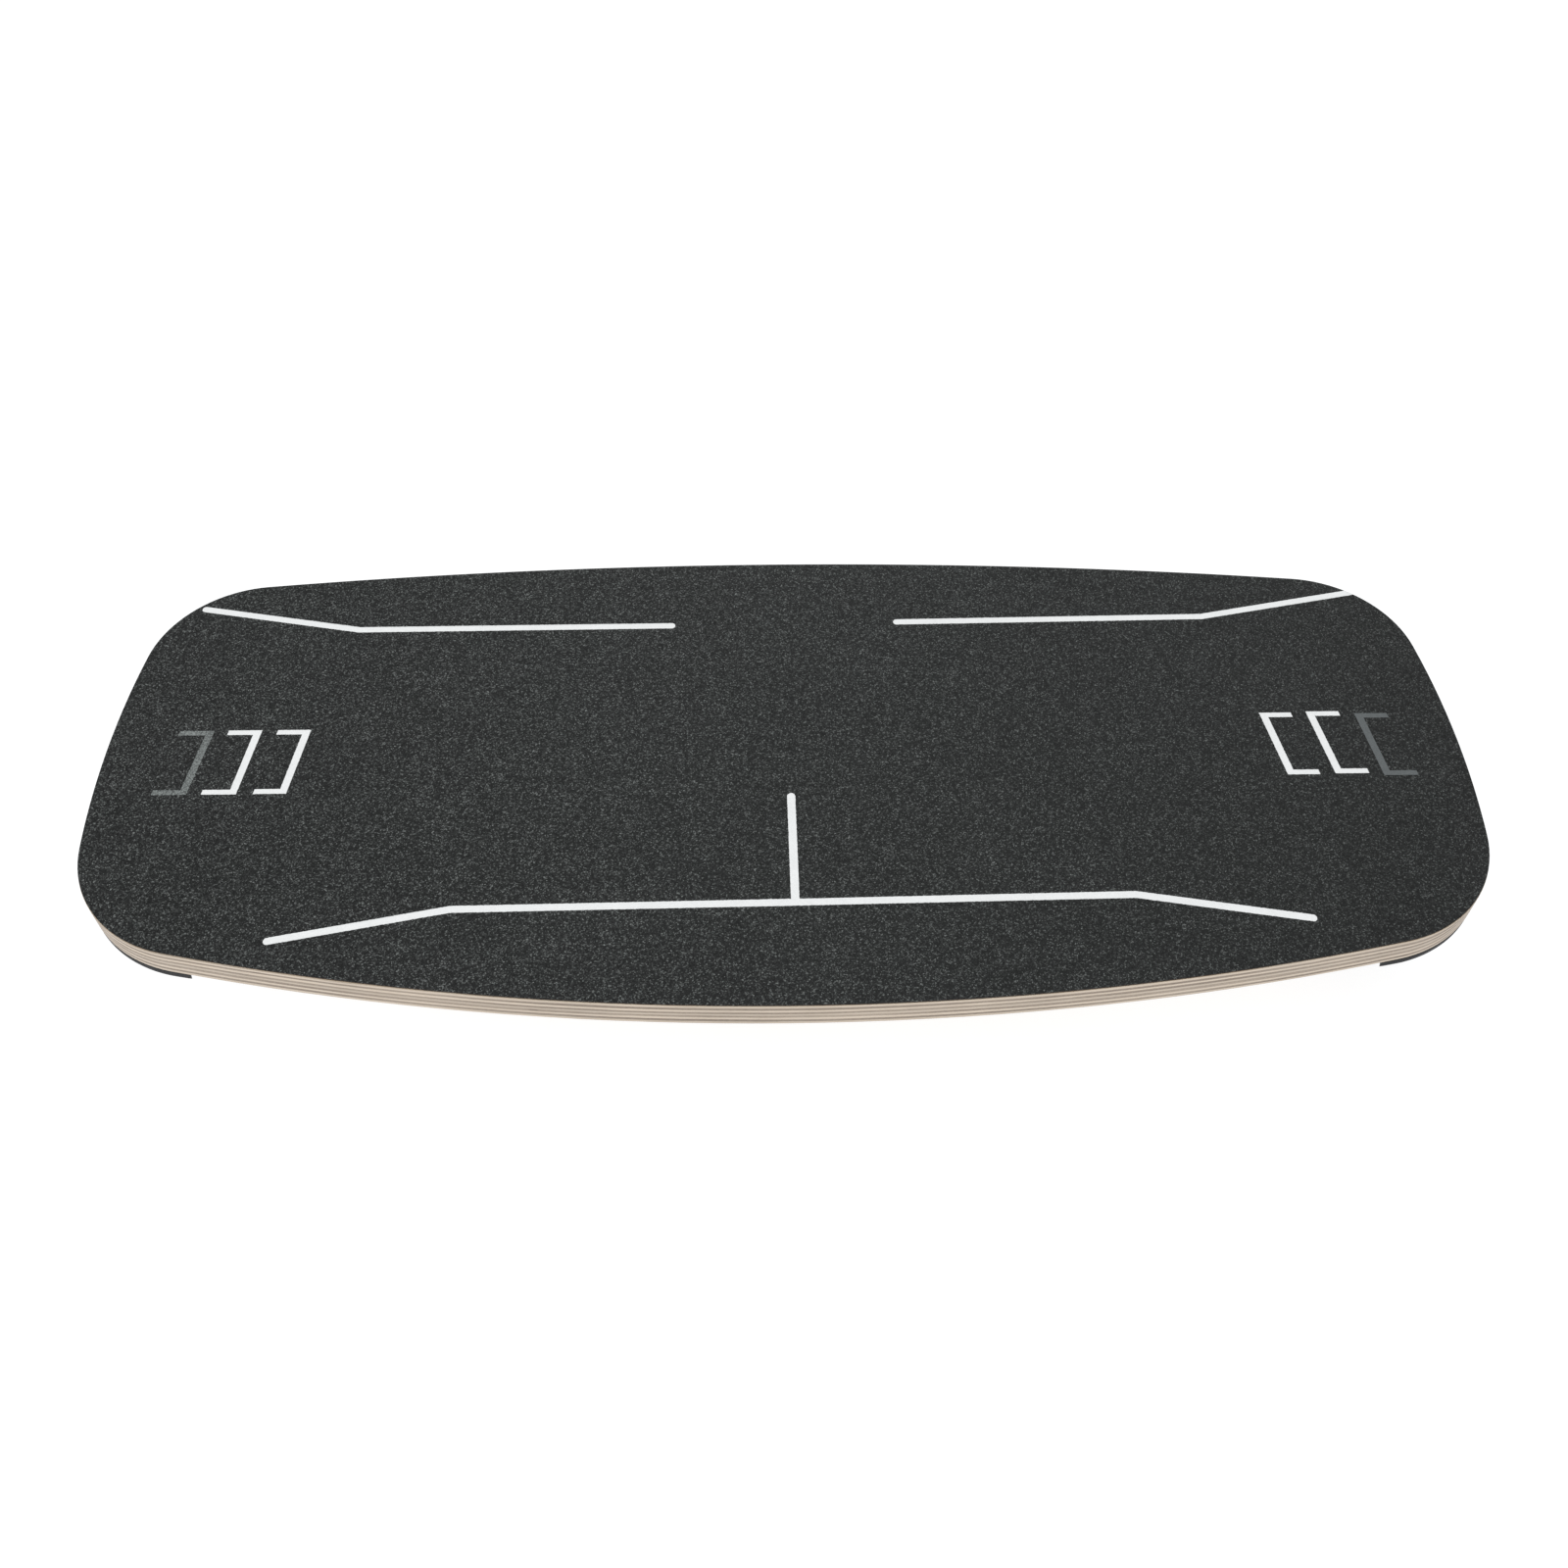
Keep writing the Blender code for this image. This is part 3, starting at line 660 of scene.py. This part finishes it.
# ------------------------------------------------------------------ end pads
def pad_curves(inset, n=150):
    """The pad's outer and inner edges as two runs of n+1 points, tip to tip."""
    ring = right_half(inset)

    def tip_y(sign):
        for (x0, y0), (x1, y1) in zip(ring, ring[1:]):
            if min(x0, x1) <= PAD_TIP_X <= max(x0, x1) and y0 * sign > 0:
                return y0 + (PAD_TIP_X - x0) / (x1 - x0) * (y1 - y0)

    back_y, front_y = tip_y(1), tip_y(-1)
    outer = [(PAD_TIP_X, back_y)] + [p for p in ring if p[0] > PAD_TIP_X + 0.0005] + [(PAD_TIP_X, front_y)]
    half = (back_y - front_y) / 2
    rise = PAD_MID_X - PAD_TIP_X
    r = (half * half + rise * rise) / (2 * rise)
    swing = math.asin(half / r)
    inner = arc(PAD_MID_X - r, (back_y + front_y) / 2, r, swing, -swing, n)
    # even steps along the outer edge
    lens = [0.0]
    for p, q in zip(outer, outer[1:]):
        lens.append(lens[-1] + math.dist(p, q))
    even, k = [], 0
    for i in range(n + 1):
        s = lens[-1] * i / n
        while k < len(lens) - 2 and lens[k + 1] < s:
            k += 1
        t = (s - lens[k]) / (lens[k + 1] - lens[k])
        even.append((outer[k][0] + t * (outer[k + 1][0] - outer[k][0]),
                     outer[k][1] + t * (outer[k + 1][1] - outer[k][1])))
    return even, inner


def pad_piece(name, sign, node):
    """A moulded pad: rounded lower edges, and shallow ribs that run from tip to
    tip across its underside."""
    lo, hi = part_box(node)
    z0, z1 = lo.z, hi.z
    outer, inner = pad_curves(PAD_INSET)
    rows = 64
    n = len(outer)
    thick = z1 - z0
    run = sum(math.dist(p, q) for p, q in zip(outer, outer[1:]))
    bm = bmesh.new()
    grid = []
    for j in range(rows + 1):
        s = j / rows
        row = []
        for i in range(n):
            ox, oy = outer[i]
            ix, iy = inner[i]
            w = math.dist((ox, oy), (ix, iy))
            x, y = ox + s * (ix - ox), oy + s * (iy - oy)
            edge = min(s, 1 - s) * w
            r = 0.0005
            # the pad grows thinner towards its two tips
            along = min(i, n - 1 - i) / (n - 1) * run
            z_low = z0 + thick * 0.14 * (1.0 - min(1.0, along / 0.020)) ** 1.5
            z = z_low
            if edge < r:
                z = z_low + r - math.sqrt(max(0.0, r * r - (r - edge) ** 2))
            # ribs fade out towards the tips and keep clear of the edges
            dep = 0.0007 * min(1.0, max(0.0, (w - 0.012) / 0.010)) * min(1.0, max(0.0, (edge - 0.0035) / 0.002))
            wave = 0.5 + 0.5 * math.cos(2 * math.pi * s * 9.0)
            z += dep * min(1.0, max(0.0, (wave - 0.35) / 0.3))
            row.append(bm.verts.new((sign * x, y, z)))
        grid.append(row)
    # the upper edge is chamfered, so a thin shadow line parts it from the wood
    shoulder, top_outer = [], []
    for i, v in enumerate(grid[0]):
        ox, oy = outer[i]
        ix, iy = inner[i]
        w = math.dist((ox, oy), (ix, iy))
        step = min(0.0008, 0.3 * w) / max(w, 1e-6)
        shoulder.append(bm.verts.new((v.co.x, v.co.y, z1 - 0.0009)))
        top_outer.append(bm.verts.new((sign * (ox + step * (ix - ox)), oy + step * (iy - oy), z1)))
    inner_rim = [bm.verts.new((v.co.x, v.co.y, z1 - 0.0009)) for v in grid[-1]]
    top = [top_outer, [bm.verts.new((v.co.x, v.co.y, z1)) for v in grid[-1]]]
    for j in range(rows):
        for i in range(n - 1):
            bm.faces.new((grid[j][i], grid[j][i + 1], grid[j + 1][i + 1], grid[j + 1][i]))
    for i in range(n - 1):
        bm.faces.new((top[0][i], top[0][i + 1], shoulder[i + 1], shoulder[i]))
        bm.faces.new((shoulder[i], shoulder[i + 1], grid[0][i + 1], grid[0][i]))
        bm.faces.new((grid[-1][i], grid[-1][i + 1], inner_rim[i + 1], inner_rim[i]))
        bm.faces.new((inner_rim[i], inner_rim[i + 1], top[1][i + 1], top[1][i]))
        bm.faces.new((top[0][i], top[1][i], top[1][i + 1], top[0][i + 1]))
    bmesh.ops.remove_doubles(bm, verts=bm.verts, dist=2e-5)
    bmesh.ops.dissolve_degenerate(bm, edges=bm.edges, dist=1e-6)
    bmesh.ops.holes_fill(bm, edges=[e for e in bm.edges if e.is_boundary], sides=0)
    bmesh.ops.recalc_face_normals(bm, faces=bm.faces)
    mesh = bpy.data.meshes.new(name)
    bm.to_mesh(mesh)
    bm.free()
    return link(bpy.data.objects.new(name, mesh))


def lathe(name, profile, steps, at, flip=False):
    """A closed turned mesh about the Z axis, for cutting."""
    bm = bmesh.new()
    rings = []
    for r, z in profile:
        if r < 1e-9:
            rings.append([bm.verts.new((0, 0, z))])
        else:
            rings.append([bm.verts.new((r * math.cos(2 * math.pi * k / steps),
                                        r * math.sin(2 * math.pi * k / steps), z)) for k in range(steps)])
    for a, b in zip(rings, rings[1:]):
        for k in range(steps):
            q = [a[k % len(a)], a[(k + 1) % len(a)], b[(k + 1) % len(b)], b[k % len(b)]]
            seen = []
            for v in q:
                if v not in seen:
                    seen.append(v)
            if len(seen) > 2:
                bm.faces.new(seen)
    bmesh.ops.recalc_face_normals(bm, faces=bm.faces)
    bmesh.ops.translate(bm, verts=bm.verts, vec=at)
    mesh = bpy.data.meshes.new(name)
    bm.to_mesh(mesh)
    bm.free()
    return link(bpy.data.objects.new(name, mesh))


def cut_all(obj, tools):
    """Subtracts the tools for good, then removes them."""
    for t in tools:
        m = obj.modifiers.new("cut", "BOOLEAN")
        m.operation = "DIFFERENCE"
        m.solver = "EXACT"
        m.object = t
    bpy.context.view_layer.update()
    dg = bpy.context.evaluated_depsgraph_get()
    mesh = bpy.data.meshes.new_from_object(obj.evaluated_get(dg))
    old = obj.data
    obj.modifiers.clear()
    obj.data = mesh
    mesh.name = obj.name
    bpy.data.meshes.remove(old)
    for t in tools:
        me = t.data
        bpy.data.objects.remove(t, do_unlink=True)
        bpy.data.meshes.remove(me)


for side_name, sign in (("right", 1.0), ("left", -1.0)):
    node = "end_pad_" + side_name
    pad = pad_piece("rubber_pad_" + side_name, sign, node)
    tools = []
    for spot in ("front", "back", "end_front", "end_back"):
        lo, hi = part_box("pad_screw_%s_%s" % (side_name, spot))
        c = (lo + hi) / 2
        head = (hi.x - lo.x) / 2 + 0.00035
        shank = 0.00175 + 0.00035
        z_head = lo.z
        tools.append(lathe("tool", [(0.0, z_head - 0.004), (head + 0.0009, z_head - 0.004), (head + 0.0009, z_head - 0.0009),
                                    (head, z_head - 0.0003), (head, z_head + 0.0004),
                                    (shank, z_head + 0.0004 + head - shank), (shank, z_head + 0.02), (0.0, z_head + 0.02)],
                           32, Vector((c.x, c.y, 0.0))))
    cut_all(pad, tools)
    finish_piece(pad, M_PAD, 40)
    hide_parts(node)


# -------------------------------------------------------------------- treads
def tread_piece(name, node):
    """A ribbed rubber tread bent round the rail's rolling line."""
    lo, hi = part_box(node)
    y0, y1 = lo.y, hi.y
    half = (hi.x - lo.x) / 2
    top = math.asin((half - LAND_HALF) / ROCKER_R)
    arc_len = ROCKER_R * top
    total = 2 * (LAND_HALF + arc_len)
    n = 476
    ch = 0.0007

    def spine(s):
        """Point on the rolling line and its inward normal, s from 0 to 1."""
        u = s * total - total / 2
        if abs(u) <= LAND_HALF:
            return Vector((u, 0.0, 0.0)), Vector((0.0, 0.0, 1.0))
        a = (abs(u) - LAND_HALF) / ROCKER_R
        sg = 1.0 if u > 0 else -1.0
        return (Vector((sg * (LAND_HALF + ROCKER_R * math.sin(a)), 0.0, ROCKER_R - ROCKER_R * math.cos(a))),
                Vector((-sg * math.sin(a), 0.0, math.cos(a))))

    bm = bmesh.new()
    rings = []
    pitch = 0.0034
    for i in range(n + 1):
        s = i / n
        p, nrm = spine(s)
        u = s * total - total / 2
        end = min(s, 1 - s) * total
        phase = (u / pitch) % 1.0
        d = abs(phase - 0.5) * 2.0
        dep = 0.0007 * min(1.0, max(0.0, (0.42 - d) / 0.18)) if end > 0.004 else 0.0
        if end < 0.0008:
            dep = 0.0008 - math.sqrt(max(0.0, 0.0008 ** 2 - (0.0008 - end) ** 2))
        ring = []
        for y, q in ((y0, TREAD_T), (y0, dep + ch), (y0 + ch, dep), (y1 - ch, dep), (y1, dep + ch), (y1, TREAD_T)):
            v = p + nrm * q
            ring.append(bm.verts.new((v.x, y, v.z + lo.z)))
        rings.append(ring)
    for a, b in zip(rings, rings[1:]):
        for k in range(6):
            bm.faces.new((a[k], a[(k + 1) % 6], b[(k + 1) % 6], b[k]))
    bm.faces.new(rings[0])
    bm.faces.new(rings[-1][::-1])
    bmesh.ops.recalc_face_normals(bm, faces=bm.faces)
    mesh = bpy.data.meshes.new(name)
    bm.to_mesh(mesh)
    bm.free()
    return link(bpy.data.objects.new(name, mesh))


for where in ("front", "back"):
    tread = tread_piece("ribbed_tread_" + where, "rocker_tread_" + where)
    finish_piece(tread, M_TREAD, 30)
    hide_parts("rocker_tread_" + where)


# ------------------------------------------------------------ CAD nodes kept
def dress(node, mat):
    o = NODES[node]
    o.data.materials.clear()
    o.data.materials.append(mat)


dress("deck", M_DECK)
dress("grip_sheet", M_GRIP)
dress("rocker_rail_front", M_RAIL_F)
dress("rocker_rail_back", M_RAIL_B)
for node in NODES:
    if "_screw_" in node:
        dress(node, M_ZINC)
    elif node.startswith("tie_dowel"):
        dress(node, M_BEECH)
dress("end_pad_left", M_PAD)
dress("end_pad_right", M_PAD)
dress("rocker_tread_front", M_TREAD)
dress("rocker_tread_back", M_TREAD)


# ------------------------------------------------------ stage, light, camera
def floor_material():
    g = Graph("studio_floor")
    g.set(Specular_IOR_Level=0.1)
    n = g.noise(3.0, 2.0, 0.5)
    # a translucent table lit evenly from below, so shadows on it stay faint
    g.set(Emission_Color=(0.985, 0.99, 1.0, 1.0), Emission_Strength=0.80)
    g.finish(g.ramp(n, [(0.3, 0.300), (0.7, 0.310)]), 0.9)
    # seen from below it is clear, so the underside can be looked at
    geo = g.node("ShaderNodeNewGeometry")
    clear = g.node("ShaderNodeBsdfTransparent")
    either = g.node("ShaderNodeMixShader")
    g.feed(either.inputs[0], geo.outputs["Backfacing"])
    g.link(g.bsdf.outputs[0], either.inputs[1])
    g.link(clear.outputs[0], either.inputs[2])
    g.link(either.outputs[0], g.tree.nodes["Material Output"].inputs["Surface"])
    return g.mat


bpy.ops.mesh.primitive_plane_add(size=14.0, location=(0, 0, -0.0005))
floor = bpy.context.object
floor.name = "studio_floor"
floor.data.materials.append(floor_material())

world = bpy.data.worlds.new("studio")
bpy.context.scene.world = world
world.use_nodes = True
bg = world.node_tree.nodes["Background"]
bg.inputs["Color"].default_value = (0.97, 0.985, 1.0, 1.0)
bg.inputs["Strength"].default_value = 0.74


def area(name, loc, target, size, power, color=(1.0, 1.0, 1.0)):
    data = bpy.data.lights.new(name, "AREA")
    data.shape = "DISK"
    data.size = size
    data.energy = power
    data.color = color
    o = link(bpy.data.objects.new(name, data))
    o.location = loc
    o.rotation_euler = (Vector(target) - Vector(loc)).to_track_quat("-Z", "Y").to_euler()
    return o


area("key", (-1.6, -1.2, 2.6), (0.0, 0.0, 0.08), 1.8, 30.0, (1.0, 0.99, 0.975))
area("back", (0.9, 2.2, 1.9), (0.0, 0.0, 0.08), 1.6, 17.0)
area("front", (0.4, -2.6, 0.9), (0.0, 0.0, 0.08), 1.6, 15.0, (1.0, 0.995, 0.985))

PITCH, YAW, ROLL = 0.899668, 0.014656, 0.002213
base = Matrix(((1, 0, 0), (0, 0, -1), (0, 1, 0)))
tilt = Matrix(((1, 0, 0), (0, math.cos(PITCH), -math.sin(PITCH)), (0, math.sin(PITCH), math.cos(PITCH))))
turn = Matrix.Rotation(YAW, 3, "Z")
lean_m = Matrix.Rotation(ROLL, 3, "Z")
view = lean_m @ tilt @ base @ turn
cam_data = bpy.data.cameras.new("camera")
cam_data.sensor_fit = "HORIZONTAL"
cam_data.sensor_width = 36.0
cam_data.lens = 36.0
cam_data.clip_start = 0.02
cam_data.clip_end = 60.0
# half a pixel, because the camera numbers were fitted counting from pixel centres
cam_data.shift_x = -0.5 / 1600
cam_data.shift_y = 0.5 / 1600
camera = link(bpy.data.objects.new("camera", cam_data))
shift = Vector((0.000331, -0.035495, 2.301459)) * 0.400
eye = -(view.transposed() @ shift) + Vector((0.0, 0.0, GRIP_Z1))
right, up, back = Vector(view[0]), -Vector(view[1]), -Vector(view[2])
camera.matrix_world = Matrix(((right.x, up.x, back.x, eye.x), (right.y, up.y, back.y, eye.y),
                              (right.z, up.z, back.z, eye.z), (0, 0, 0, 1)))
bpy.context.scene.camera = camera
bpy.context.scene.view_settings.view_transform = "Standard"
bpy.context.scene.view_settings.look = "None"
